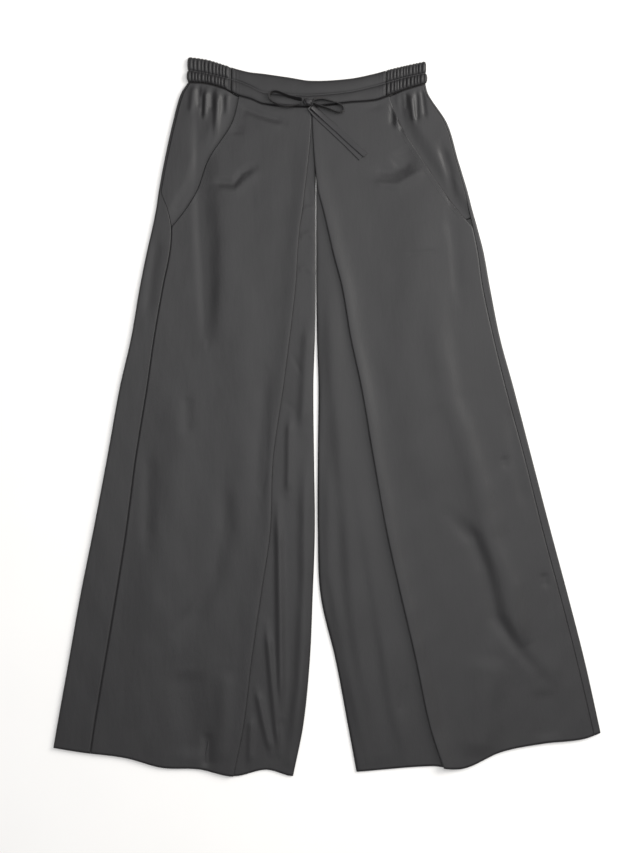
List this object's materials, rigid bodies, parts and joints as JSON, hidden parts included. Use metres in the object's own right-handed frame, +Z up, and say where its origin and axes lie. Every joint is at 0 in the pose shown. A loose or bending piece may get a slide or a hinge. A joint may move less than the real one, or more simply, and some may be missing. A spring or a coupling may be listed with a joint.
{
  "type": "hakama trousers",
  "caption": "Black wide-leg hakama-style trousers laid flat, with a gathered waistband, front pleat, slant pockets and drawcord bow.",
  "frame": {"origin": "middle of the garment's outline, on the surface it lies on", "axes": "+X across the garment to the right as the front is seen, +Y towards the waist, +Z up off the surface, out of the front"},
  "size_m": [0.7649, 1.0039, 0.0151],
  "materials": {
    "twill": "soft black sateen twill with a low sheen",
    "casing": "the same black twill, gathered over elastic",
    "tape": "matt black drawcord tape of the same cloth"
  },
  "bodies": {
    "root": {"back_left": "twill", "back_right": "twill", "front_left": "twill", "front_right": "twill", "pocket_facing_left": "twill", "pocket_facing_right": "twill", "waistband_elastic": "casing", "waistband_front": "casing", "drawcord_knot": "tape", "drawcord_loop_left": "tape", "drawcord_loop_right": "tape", "drawcord_tail_lower": "tape", "drawcord_tail_upper": "tape"}
  },
  "joints": []
}
